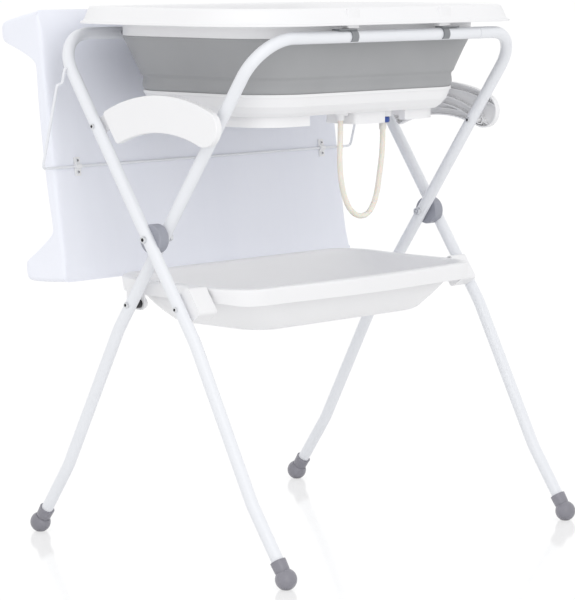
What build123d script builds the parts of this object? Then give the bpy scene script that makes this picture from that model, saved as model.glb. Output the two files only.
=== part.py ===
from build123d import *
import math
import os

# A changing table with a collapsible bath on a folding tube frame.
# X runs along the bath, the front is towards -Y and the floor is at Z = 0.

# Steel frame: two bent tubes that cross at the pivots
TUBE_D = 22.0
TUBE_WALL = 1.5
OUTER_X = 391.0
PIVOT_GAP = 16.0
PIVOT_Z = 570.0
TOP_Y = 233.0
TOP_Z = 921.0
KNEE_Z = 398.0
ANKLE_Y = 249.0
ANKLE_Z = 134.0
FOOT_Y = 327.0
TOP_BEND_R = 80.0
KNEE_BEND_R = 200.0
ANKLE_BEND_R = 120.0
SEAM_X = 226.0
SEAM_GAP = 0.8
SPIGOT_L = 40.0
SPIGOT_WALL = 1.2
SHOULDER_L = 2.0
SEAM_SCREW_INSET = 12.0

# Clearances used all over the object
SEAT = 0.3
SLIDE_FIT = 0.1
RUN_FIT = 0.06
OVERRUN = 20.0

# Ball feet of grey plastic, pushed over the tube ends
BALL_D = 38.0
BALL_Z = 17.5
FOOT_BORE_START = 8.0
FOOT_NECK_Z = 13.0
FOOT_NECK_R = 12.8
FOOT_COLLAR_Z = 17.0
FOOT_COLLAR_R = 13.6
FOOT_TOP_Z = 34.0
FOOT_TOP_R = 14.2

# Pivots: a grey spacer disc, a bolt and a nut on each side
DISC_D = 52.0
DISC_SADDLE = 7.0
DISC_ROUND = 3.0
BOLT_D = 8.0
BOLT_HEAD_D = 13.0
BOLT_HEAD_H = 3.6
NUT_D = 13.0
NUT_H = 6.5

# Small screws: a pan head and a plain shank
SCREW_D = 4.0
SCREW_HEAD_D = 8.0
SCREW_HEAD_H = 2.4
HEAD_ROUND_SHARE = 0.55

# Side arches: moulded shells with a curved track round the pivot
ARCH_CENTRE_Y = -26.0
ARCH_CREST_Z = 821.0
ARCH_OUTER_R = 310.0
ARCH_WIDTH = 65.0
ARCH_FRONT_Y = -130.0
ARCH_SCREW_R = 230.0
ARCH_T = 13.0
ARCH_FACE_T = 3.0
ARCH_WALL = 2.5
ARCH_ROUND = 2.0
ARCH_CORNER_R = 7.0
ARCH_LEG_GAP = 10.0
ARCH_INNER_GAP = 11.0
ARCH_RIB_T = 1.8
ARCH_RIB_INSET = 13.0
ARCH_RIB_H = 9.0
TRACK_R = 218.0
TRACK_RAIL_T = 2.5
TRACK_SPARE_DEG = 0.6
FOLD_DEG = 58.0
ROLLER_D = 12.0
ROLLER_END_GAP = 2.6
TONGUE_W = 28.0
TONGUE_OVERLAP = 16.0

# Tray brackets on the front legs, with a round stub for the tray, and the tray's hinges on the rear legs
TRAY_PIN_R = 150.0
BRACKET_R = 139.0
BRACKET_REAR = 4.0
BRACKET_FRONT = 28.0
BRACKET_UP = 27.0
BRACKET_DOWN = 27.0
BRACKET_CORNER = 6.0
BRACKET_POCKET_T = 3.0
BRACKET_POCKET_GAP = 9.0
STUB_D = 12.0

# Grey clips that wrap the front of the front bar
CLIP_X = 125.0
CLIP_W = 16.0
CLIP_T = 2.5
CLIP_DROP = 9.0
TAB_L = 47.0
TAB_D = 18.0
TAB_T = 2.6

# Bath rim and collar
RIM_HALF_L = 400.0
RIM_HALF_D = 250.0
RIM_CORNER_R = 150.0
RIM_TOP_Z = 971.0
RIM_H = 30.0
RIM_BEAD_H = 3.0
RIM_BEAD_OUT = 4.0
RIM_DRAW = 11.0
RIM_ROUND = 5.0
TUB_WALL_T = 3.0
COLLAR_HALF_L = 320.0
COLLAR_HALF_D = 205.0
COLLAR_CORNER_R = 118.0
COLLAR_BOTTOM_Z = 919.0
COLLAR_FLARE_Z = 945.0
MOUTH_HALF_L = 353.0
MOUTH_HALF_D = 214.0
MOUTH_CORNER_R = 126.0
LUG_L = 30.0
LUG_D = 16.0

# Soft bath wall with its folding crease
CREASE_Z = 849.0
CREASE_H = 5.0
CREASE_HALF_L = 288.0
CREASE_HALF_D = 184.0
CREASE_CORNER_R = 104.0
CREASE_STEP = 5.0
WALL_BOTTOM_Z = 821.0

# Bath base with a rounded bottom, foot rails and a drain block
BASE_HALF_L = 281.0
BASE_HALF_D = 178.0
BASE_CORNER_R = 100.0
BASE_BOTTOM_Z = 781.0
BASE_SHOULDER_H = 18.0
BASE_SHOULDER_IN = 6.0
BASE_ROUND_H = 6.0
BASE_ROUND_IN = 17.0
BASE_BOTTOM_IN = 25.0
BASE_FLOOR_T = 3.5
BASE_LIP_H = 5.0
BASE_LIP_OUT = 2.0
RAIL_H = 19.0
RAIL_T = 14.0
RAIL_IN = 10.0
RAIL_OPEN_HALF = 130.0
SUMP_GAP = 1.5
SUMP_FRONT_Y = -142.0
SUMP_D = 76.0
SUMP_H = 22.0
SUMP_CORNER = 8.0

# Drain fitting, hose, plug and plug holder under the base
DRAIN_X = -20.0
PLUG_X = 97.0
DRAIN_Y = -118.0
FLANGE_D = 30.0
FLANGE_T = 2.0
STEM_D = 17.0
DRAIN_NUT_D = 28.0
DRAIN_NUT_H = 6.0
DRAIN_END_Z = 766.0
DRAIN_END_D = 14.0
DRAIN_BORE_D = 6.0
HOSE_D = 10.0
HOSE_WALL = 1.5
PLUG_D = 20.0
PLUG_BODY_H = 9.0
PLUG_FLANGE_D = 25.0
PLUG_FLANGE_H = 11.0
PLUG_SLEEVE_D = 14.0
PLUG_END_Z = 745.0
HOLDER_D = 31.0
HOLDER_H = 12.0

# Storage tray between the lower legs
TRAY_SIDE_GAP = 10.0
TRAY_HALF_D = 170.0
TRAY_CORNER_R = 72.0
TRAY_TOP_Z = 487.0
TRAY_WALL = 3.0
TRAY_DRAFT = 3.0
TRAY_RIM_W = 15.0
BOWL_SHOULDER_IN = 10.0
BOWL_HALF_L = 212.0
BOWL_HALF_D = 98.0
BOWL_CORNER_R = 46.0
BOWL_SHOULDER_Z = 450.0
BOWL_BOTTOM_Z = 399.0
EAR_FRONT = 12.0
EAR_REAR = 33.0
EAR_CORNER = 9.0
HINGE_BOLT_D = 6.0
HINGE_BOSS_D = 20.0
HINGE_BOSS_H = 8.0
HINGE_NUT_D = 11.0
HINGE_NUT_H = 5.0
WASHER_D = 16.0

# Wire bail that carries the changing board
WIRE_D = 5.0
BAIL_PIN_DROP = 71.3
BAIL_IN = 13.0
BAIL_NEAR_X = 405.5
BAIL_FAR_X = 417.0
JOG_START = 27.0
JOG_END = 31.0
PIN_BEND_R = 3.4
BAIL_BEND_R = 8.0
JOG_BEND_R = 5.0

# Changing board: a padded panel with a wedge bolster along each long edge
BOARD_L = 772.0
BOARD_W = 480.0
BOARD_FOOT_Y = 217.0
BOARD_FOOT_Z = 487.0
BOARD_LEAN_DEG = 8.0
BOARD_T = 22.0
BOARD_CROWN = 6.0
WEDGE_BASE = 87.0
WEDGE_H = 102.0
WEDGE_TIP_IN = 5.0
WEDGE_TIP_W = 22.0
WEDGE_TIP_DROP = 4.0
WEDGE_TIP_R = 8.0
WEDGE_ROOT_R = 14.0
BOARD_EDGE_R = 5.0
BOARD_END_R = 6.0
SEAM_INSET = 46.0
SEAM_W = 4.0
SEAM_DEPTH = 1.5
WIRE_SEAT = 196.0
BOARD_CLIP_X = 331.0
BOARD_CLIP_W = 14.0
BOARD_CLIP_L = 34.0
BOARD_CLIP_T = 2.5
CLIP_TUNNEL_WALL = 2.2
CLIP_SCREW_INSET = 6.5
CLIP_SCREW_D = 3.2
CLIP_SCREW_HEAD_D = 6.6
CLIP_SCREW_HEAD_H = 2.0
CLIP_SCREW_L = 9.0

# The pivots stand this far ahead of the middle of the whole depth
PIVOT_Y = -17.4

# Sizes that follow from the ones above
TUBE_R = TUBE_D / 2
BALL_R = BALL_D / 2
BOLT_R = BOLT_D / 2
SCREW_R = SCREW_D / 2
WIRE_R = WIRE_D / 2
HOSE_R = HOSE_D / 2
ROLLER_R = ROLLER_D / 2
INNER_X = OUTER_X - TUBE_D - PIVOT_GAP
TRAY_HALF_L = INNER_X - TUBE_R - TRAY_SIDE_GAP
LEAN = math.atan2(TOP_Y, TOP_Z - PIVOT_Z)
KNEE_Y = (PIVOT_Z - KNEE_Z) * math.tan(LEAN)
BAIL_PIN_R = math.hypot(TOP_Y, TOP_Z - PIVOT_Z) - BAIL_PIN_DROP
ARCH_CENTRE_Z = ARCH_CREST_Z - ARCH_OUTER_R
ARCH_MID_R = ARCH_OUTER_R - ARCH_WIDTH / 2
ARCH_FRONT = math.asin((ARCH_FRONT_Y - ARCH_CENTRE_Y) / ARCH_MID_R)
STUB_Z = PIVOT_Z - BRACKET_R * math.cos(LEAN)
TRAY_LOW_Z = STUB_Z + STUB_D / 2 + SEAT
LIP_Z = RIM_TOP_Z - RIM_H
ARCH_INNER_R = ARCH_OUTER_R - ARCH_WIDTH
SUMP_LEFT = DRAIN_X + DRAIN_NUT_D / 2 + SUMP_GAP
SUMP_RIGHT = PLUG_X - HOLDER_D / 2 - SUMP_GAP
ARCH_IN_X = INNER_X + TUBE_R + ARCH_INNER_GAP
ARCH_OUT_X = ARCH_IN_X + ARCH_T
ARCH_END_OFFSET = TUBE_R + ARCH_LEG_GAP
BOARD_LEAN = math.radians(BOARD_LEAN_DEG)
WIRE_STAND = WIRE_R + SEAT + SLIDE_FIT


def on_leg(distance, aside=0.0):
    """Y and Z of a place on an outer upper leg: so far above the pivot, and so far ahead of the tube's middle."""
    y = distance * math.sin(LEAN) - aside * math.cos(LEAN)
    z = PIVOT_Z + distance * math.cos(LEAN) + aside * math.sin(LEAN)
    return (y, z)


def rod_x(radius, x_from, x_to, y, z):
    """A round bar along X."""
    middle = Pos((x_from + x_to) / 2, y, z)
    return middle * Rot(0, 90, 0) * Cylinder(radius, abs(x_to - x_from))


def rod_y(radius, y_from, y_to, x, z):
    """A round bar along Y."""
    middle = Pos(x, (y_from + y_to) / 2, z)
    return middle * Rot(90, 0, 0) * Cylinder(radius, abs(y_to - y_from))


def screw(head_d, head_h, shank_d, shank_l):
    """A pan-head screw that points down, its head seated on the XY plane."""
    head = Pos(0, 0, head_h / 2) * Cylinder(head_d / 2, head_h)
    head = fillet(head.edges().group_by(Axis.Z)[-1], head_h * HEAD_ROUND_SHARE)
    shank = Pos(0, 0, -shank_l / 2) * Cylinder(shank_d / 2, shank_l)
    return head + shank


def screw_x(head_d, head_h, shank_d, x_seat, x_tip, y, z):
    """A screw along X, from the face that its head sits on to its tip."""
    turn = -90 if x_seat < x_tip else 90
    return Pos(x_seat, y, z) * Rot(0, turn, 0) * screw(head_d, head_h, shank_d, abs(x_tip - x_seat))


def nut_x(size, height, bore, x_from, y, z, outwards):
    """A six-sided nut on an X axis."""
    body = extrude(RegularPolygon(size / 2, 6, major_radius=False) - Circle(bore), height)
    return Pos(x_from, y, z) * Rot(0, 90 * outwards, 0) * body


def mirrored(piece):
    """The same piece on the right side."""
    return mirror(piece, about=Plane.YZ)


def both_sides(piece):
    """A left piece and its right twin as one group."""
    return Compound([piece, mirrored(piece)])


def level(half_l, half_d, corner_r, z):
    """A rounded rectangle at one height."""
    return Pos(0, 0, z) * RectangleRounded(2 * half_l, 2 * half_d, corner_r)


def stack(levels):
    """A closed form with straight sides through rounded rectangles."""
    return loft([level(*each) for each in levels], ruled=True)


def shrink(levels, wall):
    """The same levels drawn in by a wall."""
    return [(a - wall, b - wall, r - wall, z) for a, b, r, z in levels]


def leg_tube(x, feet, seam_x, long_half):
    """One bent tube: a leg, the top bend and its stretch of the bar. feet is -1 in front and 1 behind."""
    foot = Vector(x, feet * FOOT_Y, BALL_Z)
    ankle = Vector(x, feet * ANKLE_Y, ANKLE_Z)
    knee = Vector(x, feet * KNEE_Y, KNEE_Z)
    corner = Vector(x, -feet * TOP_Y, TOP_Z)
    seam = Vector(seam_x, -feet * TOP_Y, TOP_Z)
    start = foot + (ankle - foot).normalized() * (FOOT_BORE_START + SEAT)
    bends = [ANKLE_BEND_R, KNEE_BEND_R, TOP_BEND_R]
    path = FilletPolyline(start, ankle, knee, corner, seam, radius=bends)
    ring = Circle(TUBE_R) - Circle(TUBE_R - TUBE_WALL)
    tube = sweep(Plane(origin=path @ 0, z_dir=path % 0) * ring, path=path)
    along = math.copysign(1, seam_x - x)
    bar_y = -feet * TOP_Y
    if long_half:
        spigot_r = TUBE_R - TUBE_WALL - SLIDE_FIT
        spigot_bore = spigot_r - SPIGOT_WALL
        root_x = seam_x - along * SHOULDER_L
        tube += rod_x(TUBE_R - SLIDE_FIT, root_x, seam_x, bar_y, TOP_Z)
        tube += rod_x(spigot_r, root_x, seam_x + along * SPIGOT_L, bar_y, TOP_Z)
        tube -= rod_x(spigot_bore, root_x - along * OVERRUN, seam_x + along * (SPIGOT_L + OVERRUN), bar_y, TOP_Z)
        screw_at = seam_x + along * (SEAM_GAP + SEAM_SCREW_INSET)
    else:
        screw_at = seam_x - along * SEAM_SCREW_INSET
    hole = rod_y(SCREW_R + SLIDE_FIT, bar_y, bar_y + feet * OVERRUN, screw_at, TOP_Z)
    return tube - hole


def drill_x(piece, radius, x, y, z):
    """A hole along X through both walls of a leg."""
    reach = TUBE_R + OVERRUN / 4
    return piece - rod_x(radius, x - reach, x + reach, y, z)


def outer_half(side):
    """A tube of the frame whose feet stand in front, with its holes."""
    long_half = side > 0
    seam_x = -SEAM_X if long_half else -SEAM_X - SEAM_GAP
    tube = leg_tube(side * OUTER_X, -1, seam_x, long_half)
    tube = drill_x(tube, BOLT_R + RUN_FIT, side * OUTER_X, 0, PIVOT_Z)
    tube = drill_x(tube, SCREW_R + SLIDE_FIT, side * OUTER_X, *on_leg(ARCH_SCREW_R))
    tube = drill_x(tube, SCREW_R + SLIDE_FIT, side * OUTER_X, *on_leg(-BRACKET_R))
    return drill_x(tube, WIRE_R + RUN_FIT, side * OUTER_X, *on_leg(BAIL_PIN_R))


def inner_half(side):
    """A tube of the frame whose feet stand behind, with its holes."""
    long_half = side < 0
    seam_x = SEAM_X if long_half else SEAM_X + SEAM_GAP
    tube = leg_tube(side * INNER_X, 1, seam_x, long_half)
    tube = drill_x(tube, BOLT_R + RUN_FIT, side * INNER_X, 0, PIVOT_Z)
    roller_y, roller_z = on_leg(TRACK_R)
    tube = drill_x(tube, SCREW_R + SLIDE_FIT, side * INNER_X, -roller_y, roller_z)
    hinge_y, hinge_z = on_leg(-TRAY_PIN_R)
    return drill_x(tube, HINGE_BOLT_D / 2 + SLIDE_FIT, side * INNER_X, -hinge_y, hinge_z)


def seam_screw(feet):
    """The screw that holds the two tubes of a frame together in its bar, on the side that faces the bath."""
    along = feet
    x = along * (SEAM_X + SEAM_GAP + SEAM_SCREW_INSET)
    y = -feet * (TOP_Y - TUBE_R - SLIDE_FIT)
    shank = TUBE_WALL + SPIGOT_WALL + SLIDE_FIT
    piece = screw(SCREW_HEAD_D, SCREW_HEAD_H, SCREW_D, shank + SCREW_HEAD_H)
    return Pos(x, y, TOP_Z) * Rot(-90 * feet, 0, 0) * piece


def foot(x, feet):
    """A ball foot: a ball with a flat sole and a tapered collar round the tube."""
    neck = math.sqrt(BALL_R**2 - FOOT_NECK_Z**2)
    with_bore = TUBE_R + SLIDE_FIT
    outline = [
        (min(neck, FOOT_NECK_R), FOOT_NECK_Z),
        (FOOT_COLLAR_R, FOOT_COLLAR_Z),
        (FOOT_TOP_R, FOOT_TOP_Z),
        (with_bore, FOOT_TOP_Z),
        (with_bore, FOOT_BORE_START),
        (0, FOOT_BORE_START),
        (0, -BALL_R),
    ]
    ball = ThreePointArc((0, -BALL_R), (BALL_R, 0), (neck, FOOT_NECK_Z))
    rest = Polyline((neck, FOOT_NECK_Z), *outline)
    profile = make_face(Plane.XZ * (ball + rest))
    turned = revolve(profile, Axis.Z)
    centre = Vector(x, feet * FOOT_Y, BALL_Z)
    ankle = Vector(x, feet * ANKLE_Y, ANKLE_Z)
    placed = Plane(origin=centre, x_dir=(1, 0, 0), z_dir=ankle - centre) * turned
    under = Pos(centre.X, centre.Y, -BALL_R) * Box(2 * BALL_D, 2 * BALL_D, BALL_D)
    return placed - under


def pivot_disc():
    """The grey spacer disc between a left outer and inner leg, hollowed where the outer tube lies in it."""
    inner_face = -(INNER_X + TUBE_R + SEAT)
    outer_face = -(OUTER_X - TUBE_R + DISC_SADDLE)
    disc = rod_x(DISC_D / 2, outer_face, inner_face, 0, PIVOT_Z)
    disc = fillet(disc.edges().filter_by(GeomType.CIRCLE), DISC_ROUND)
    lean_deg = math.degrees(LEAN)
    groove = Pos(-OUTER_X, 0, PIVOT_Z) * Rot(-lean_deg, 0, 0) * Cylinder(TUBE_R + SLIDE_FIT, 2 * DISC_D)
    return disc - groove - rod_x(BOLT_R + SLIDE_FIT, outer_face - OVERRUN, inner_face + OVERRUN, 0, PIVOT_Z)


def pivot_bolt():
    """The bolt of a left pivot, its head on the outer tube."""
    seat = -(OUTER_X + TUBE_R)
    tip = -(INNER_X - TUBE_R - NUT_H)
    return screw_x(BOLT_HEAD_D, BOLT_HEAD_H, BOLT_D, seat, tip, 0, PIVOT_Z)


def pivot_nut():
    """The nut of a left pivot, beside the inner tube."""
    start = -(INNER_X - TUBE_R - SEAT)
    return nut_x(NUT_D, NUT_H - SEAT, BOLT_R + SLIDE_FIT, start, 0, PIVOT_Z, 1)


def arch_outline(margin):
    """Side view of an arch, drawn in by a margin: a bent band, round in front and cut along the leg behind."""
    centre = (ARCH_CENTRE_Y, ARCH_CENTRE_Z)
    ring = Pos(*centre) * (Circle(ARCH_OUTER_R - margin) - Circle(ARCH_INNER_R + margin))
    reach = ARCH_OUTER_R + 2 * ARCH_WIDTH
    front_edge = (centre[0] + reach * math.sin(ARCH_FRONT), centre[1] + reach * math.cos(ARCH_FRONT))
    rear_top = on_leg(ARCH_OUTER_R + ARCH_WIDTH, ARCH_END_OFFSET + margin)
    rear_low = on_leg(TRACK_R - ARCH_WIDTH, ARCH_END_OFFSET + margin)
    wedge = make_face(Polyline(centre, rear_low, rear_top, front_edge, close=True))
    cap_at = Pos(ARCH_FRONT_Y, centre[1] + ARCH_MID_R * math.cos(ARCH_FRONT))
    band = (ring & wedge) + cap_at * Circle(ARCH_WIDTH / 2 - margin)
    return fillet(band.vertices().sort_by(Axis.X)[-2:], ARCH_CORNER_R - margin)


def side_plate(outline, x_from, thickness):
    """A plate with a side view, from one X towards +X."""
    return extrude(Plane.YZ.offset(x_from) * outline, thickness)


def track_slot(width):
    """Side view of the roller's track: a bent slot round the pivot, as long as the fold needs."""
    start = 90 + math.degrees(LEAN) + TRACK_SPARE_DEG
    sweep_deg = FOLD_DEG + 2 * TRACK_SPARE_DEG
    line = CenterArc((0, PIVOT_Z), TRACK_R, start, -sweep_deg)
    return SlotArc(line, width)


def arch():
    """The left side arch: an open-backed shell with a walled track, stiffening ribs and a tongue behind the leg."""
    shell = side_plate(arch_outline(0), -ARCH_OUT_X, ARCH_T)
    shell = fillet(shell.faces().sort_by(Axis.X)[0].edges(), ARCH_ROUND)
    depth = ARCH_T - ARCH_FACE_T
    hollow = side_plate(arch_outline(ARCH_WALL), -ARCH_OUT_X + ARCH_FACE_T, depth + OVERRUN)
    shell -= hollow
    slot_w = ROLLER_D + 2 * SEAT
    rails = track_slot(slot_w + 2 * TRACK_RAIL_T) & arch_outline(ARCH_WALL / 2)
    back_x = -ARCH_OUT_X + ARCH_FACE_T / 2
    shell += side_plate(rails, back_x, ARCH_T - ARCH_FACE_T / 2)
    centre = Pos(ARCH_CENTRE_Y, ARCH_CENTRE_Z)
    for radius in (ARCH_OUTER_R - ARCH_RIB_INSET, ARCH_INNER_R + ARCH_RIB_INSET):
        ring = centre * (Circle(radius + ARCH_RIB_T / 2) - Circle(radius - ARCH_RIB_T / 2))
        shell += side_plate(ring & arch_outline(ARCH_WALL / 2), back_x, ARCH_RIB_H)
    shell -= side_plate(track_slot(slot_w), -ARCH_OUT_X + ARCH_FACE_T, depth + OVERRUN)
    tongue_l = ARCH_END_OFFSET + TONGUE_OVERLAP
    screw_y, screw_z = on_leg(ARCH_SCREW_R)
    middle = on_leg(ARCH_SCREW_R, tongue_l / 2)
    turn = Rot(0, 0, -math.degrees(LEAN))
    tongue = Pos(*middle) * turn * Rectangle(tongue_l, TONGUE_W)
    tongue += Pos(screw_y, screw_z) * Circle(TONGUE_W / 2)
    tongue -= track_slot(slot_w + TRACK_RAIL_T)
    tongue_from = -(OUTER_X - TUBE_R - SEAT)
    shell += side_plate(tongue, tongue_from, -ARCH_IN_X - tongue_from)
    return shell - rod_x(SCREW_R + SLIDE_FIT, -OUTER_X, -ARCH_IN_X + OVERRUN, screw_y, screw_z)


def arch_screw():
    """The screw through a left outer leg into the arch's tongue."""
    y, z = on_leg(ARCH_SCREW_R)
    return screw_x(SCREW_HEAD_D, SCREW_HEAD_H, SCREW_D, -(OUTER_X + TUBE_R), -(ARCH_IN_X + SEAT), y, z)


def track_roller():
    """The white roller on a left inner leg that runs in the arch's track."""
    y, z = on_leg(TRACK_R)
    outer_end = -(ARCH_OUT_X - ARCH_FACE_T - ROLLER_END_GAP)
    roller = rod_x(ROLLER_R, outer_end, -(INNER_X + TUBE_R), -y, z)
    return roller - rod_x(SCREW_R + SLIDE_FIT, outer_end + ARCH_FACE_T, -INNER_X, -y, z)


def roller_screw():
    """The screw through a left inner leg into its roller."""
    y, z = on_leg(TRACK_R)
    tip = -(ARCH_OUT_X - 2 * ARCH_FACE_T - ROLLER_END_GAP - SEAT)
    return screw_x(SCREW_HEAD_D, SCREW_HEAD_H, SCREW_D, -(INNER_X - TUBE_R), tip, -y, z)


def tray_bracket():
    """The white bracket on a left front leg: a ribbed block with a round stub that the tray rests on."""
    y, z = on_leg(-BRACKET_R)
    width = BRACKET_FRONT + BRACKET_REAR
    height = BRACKET_UP + BRACKET_DOWN
    middle = on_leg(-BRACKET_R + (BRACKET_UP - BRACKET_DOWN) / 2, (BRACKET_FRONT - BRACKET_REAR) / 2)
    turn = Rot(0, 0, -math.degrees(LEAN))
    outline = Pos(*middle) * turn * RectangleRounded(width, height, BRACKET_CORNER)
    x_from = -(OUTER_X - TUBE_R - SEAT)
    x_to = -(TRAY_HALF_L + WASHER_D / 4)
    block = side_plate(outline, x_from, x_to - x_from)
    wall = BRACKET_POCKET_T
    pocket_h = BRACKET_UP - BRACKET_POCKET_GAP - wall
    pocket_at = on_leg(-BRACKET_R + BRACKET_POCKET_GAP + pocket_h / 2, (BRACKET_FRONT - BRACKET_REAR) / 2)
    pocket = Pos(*pocket_at) * turn * RectangleRounded(width - 2 * wall, pocket_h, wall)
    block -= side_plate(pocket, x_from + wall, x_to - x_from)
    block += rod_x(STUB_D / 2, x_to - wall, -(TRAY_HALF_L - 2 * TRAY_WALL), y, z)
    return block - rod_x(SCREW_R + SLIDE_FIT, x_from - OVERRUN, x_to - wall, y, z)


def bracket_screw():
    """The screw through a left front leg into the tray bracket."""
    y, z = on_leg(-BRACKET_R)
    tip = -(TRAY_HALF_L + WASHER_D / 4 + 2 * BRACKET_POCKET_T)
    return screw_x(SCREW_HEAD_D, SCREW_HEAD_H, SCREW_D, -(OUTER_X + TUBE_R), tip, y, z)


def bar_clip():
    """The left grey clip: a strap round the front of the front bar with a flat tab on top."""
    inner = TUBE_R + SLIDE_FIT
    ring = Circle(inner + CLIP_T) - Circle(inner)
    front_half = Pos(-TUBE_D, 0) * Rectangle(2 * TUBE_D, 2 * CLIP_DROP)
    top_quarter = Pos(-TUBE_D, TUBE_D) * Rectangle(2 * TUBE_D, 2 * TUBE_D)
    strap = Pos(-TOP_Y, TOP_Z) * (ring & (front_half + top_quarter))
    piece = side_plate(strap, -CLIP_X - CLIP_W / 2, CLIP_W)
    tab_z = TOP_Z + TUBE_R + SEAT / 2
    tab = Pos(-CLIP_X - (TAB_L - CLIP_W) / 2, -TOP_Y, tab_z + TAB_T / 2) * Box(TAB_L, TAB_D, TAB_T)
    around = rod_x(inner, -CLIP_X - TAB_L, -CLIP_X + TAB_L, -TOP_Y, TOP_Z)
    return piece + tab - around


def rim_level(z, inset):
    """The rim's outline at one height, drawn in evenly."""
    return (RIM_HALF_L - inset, RIM_HALF_D - inset, RIM_CORNER_R - inset, z)


def tub_rim():
    """The bath's rim: an outer skirt with a bead, a narrow top, a flared mouth and a collar that holds the wall."""
    draw = RIM_BEAD_OUT + RIM_DRAW
    outside = stack([
        rim_level(LIP_Z, 0),
        rim_level(LIP_Z + RIM_BEAD_H, 0),
        rim_level(LIP_Z + RIM_BEAD_H + SEAT, RIM_BEAD_OUT),
        rim_level(RIM_TOP_Z - RIM_ROUND, draw),
        rim_level(RIM_TOP_Z, draw + RIM_ROUND),
    ])
    under = stack([
        rim_level(LIP_Z - SEAT, RIM_BEAD_OUT + TUB_WALL_T),
        rim_level(RIM_TOP_Z - TUB_WALL_T, draw + TUB_WALL_T + RIM_ROUND / 2),
    ])
    wall = TUB_WALL_T
    collar = [
        (COLLAR_HALF_L, COLLAR_HALF_D, COLLAR_CORNER_R, COLLAR_BOTTOM_Z),
        (COLLAR_HALF_L, COLLAR_HALF_D, COLLAR_CORNER_R, COLLAR_FLARE_Z),
        (MOUTH_HALF_L + wall, MOUTH_HALF_D + wall, MOUTH_CORNER_R + wall, RIM_TOP_Z - SEAT),
    ]
    mouth = [
        (COLLAR_HALF_L - wall, COLLAR_HALF_D - wall, COLLAR_CORNER_R - wall, COLLAR_BOTTOM_Z - wall),
        (COLLAR_HALF_L - wall, COLLAR_HALF_D - wall, COLLAR_CORNER_R - wall, COLLAR_FLARE_Z + SEAT),
        (MOUTH_HALF_L, MOUTH_HALF_D, MOUTH_CORNER_R, RIM_TOP_Z + SEAT),
    ]
    rim = outside - under + stack(collar)
    for side_y, rest_z in ((-TOP_Y, TOP_Z + TUBE_R + SEAT / 2 + TAB_T + SEAT), (TOP_Y, TOP_Z + TUBE_R + SEAT)):
        for x in (-CLIP_X, CLIP_X):
            lug_h = RIM_TOP_Z - TUB_WALL_T / 2 - rest_z
            rim += Pos(x, side_y, rest_z + lug_h / 2) * Box(LUG_L, LUG_D, lug_h)
    return rim - stack(mouth)


def tub_wall():
    """The soft wall between collar and base, with the step that it folds at."""
    step = CREASE_STEP
    levels = [
        (COLLAR_HALF_L - SEAT, COLLAR_HALF_D - SEAT, COLLAR_CORNER_R - SEAT, COLLAR_BOTTOM_Z),
        (CREASE_HALF_L, CREASE_HALF_D, CREASE_CORNER_R, CREASE_Z),
        (CREASE_HALF_L - step, CREASE_HALF_D - step, CREASE_CORNER_R - step, CREASE_Z - CREASE_H),
        (BASE_HALF_L, BASE_HALF_D, BASE_CORNER_R, WALL_BOTTOM_Z),
    ]
    return stack(levels) - stack(shrink(levels, TUB_WALL_T))


def base_levels(lip):
    """The base's outline from its top edge down to its bottom."""
    half = (BASE_HALF_L, BASE_HALF_D, BASE_CORNER_R)
    steps = [(-lip, 0), (-lip, BASE_LIP_H)] if lip else [(0, 0)]
    height = WALL_BOTTOM_Z - BASE_BOTTOM_Z
    steps += [
        (0, BASE_LIP_H + SEAT),
        (BASE_SHOULDER_IN, height - BASE_SHOULDER_H),
        (BASE_ROUND_IN, height - BASE_ROUND_H),
        (BASE_BOTTOM_IN, height),
    ]
    return [(half[0] - i, half[1] - i, half[2] - i, WALL_BOTTOM_Z - down) for i, down in steps]


def tub_base():
    """The bath's base: a shallow dish with a lip, two foot rails round its ends and a drain block."""
    outside = base_levels(BASE_LIP_OUT)
    inside = shrink(base_levels(0), TUB_WALL_T)
    floor = inside.pop()
    inside.append((floor[0], floor[1], floor[2], floor[3] + BASE_FLOOR_T))
    top = inside[0]
    inside[0] = (top[0], top[1], top[2], top[3] + SEAT)
    base = stack(outside)
    a, b, r, z = outside[-1]
    rails = RectangleRounded(2 * (a - RAIL_IN), 2 * (b - RAIL_IN), r - RAIL_IN)
    rails -= RectangleRounded(2 * (a - RAIL_IN - RAIL_T), 2 * (b - RAIL_IN - RAIL_T), r - RAIL_IN - RAIL_T)
    rails -= Rectangle(2 * RAIL_OPEN_HALF, 2 * BASE_HALF_D)
    base += extrude(Pos(0, 0, z - RAIL_H) * rails, RAIL_H + SEAT)
    sump_l = SUMP_RIGHT - SUMP_LEFT
    sump = RectangleRounded(sump_l, SUMP_D, SUMP_CORNER)
    sump_at = Pos((SUMP_LEFT + SUMP_RIGHT) / 2, SUMP_FRONT_Y + SUMP_D / 2, z - SUMP_H)
    base += extrude(sump_at * sump, SUMP_H + SEAT)
    base -= stack(inside)
    wall = TUB_WALL_T
    hollow = RectangleRounded(sump_l - 2 * wall, SUMP_D - 2 * wall, SUMP_CORNER - wall)
    base -= extrude(sump_at * Pos(0, 0, -SEAT) * hollow, SUMP_H)
    stem = Pos(DRAIN_X, DRAIN_Y, BASE_BOTTOM_Z) * Cylinder(STEM_D / 2 + SLIDE_FIT, OVERRUN)
    return base - stem


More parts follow.
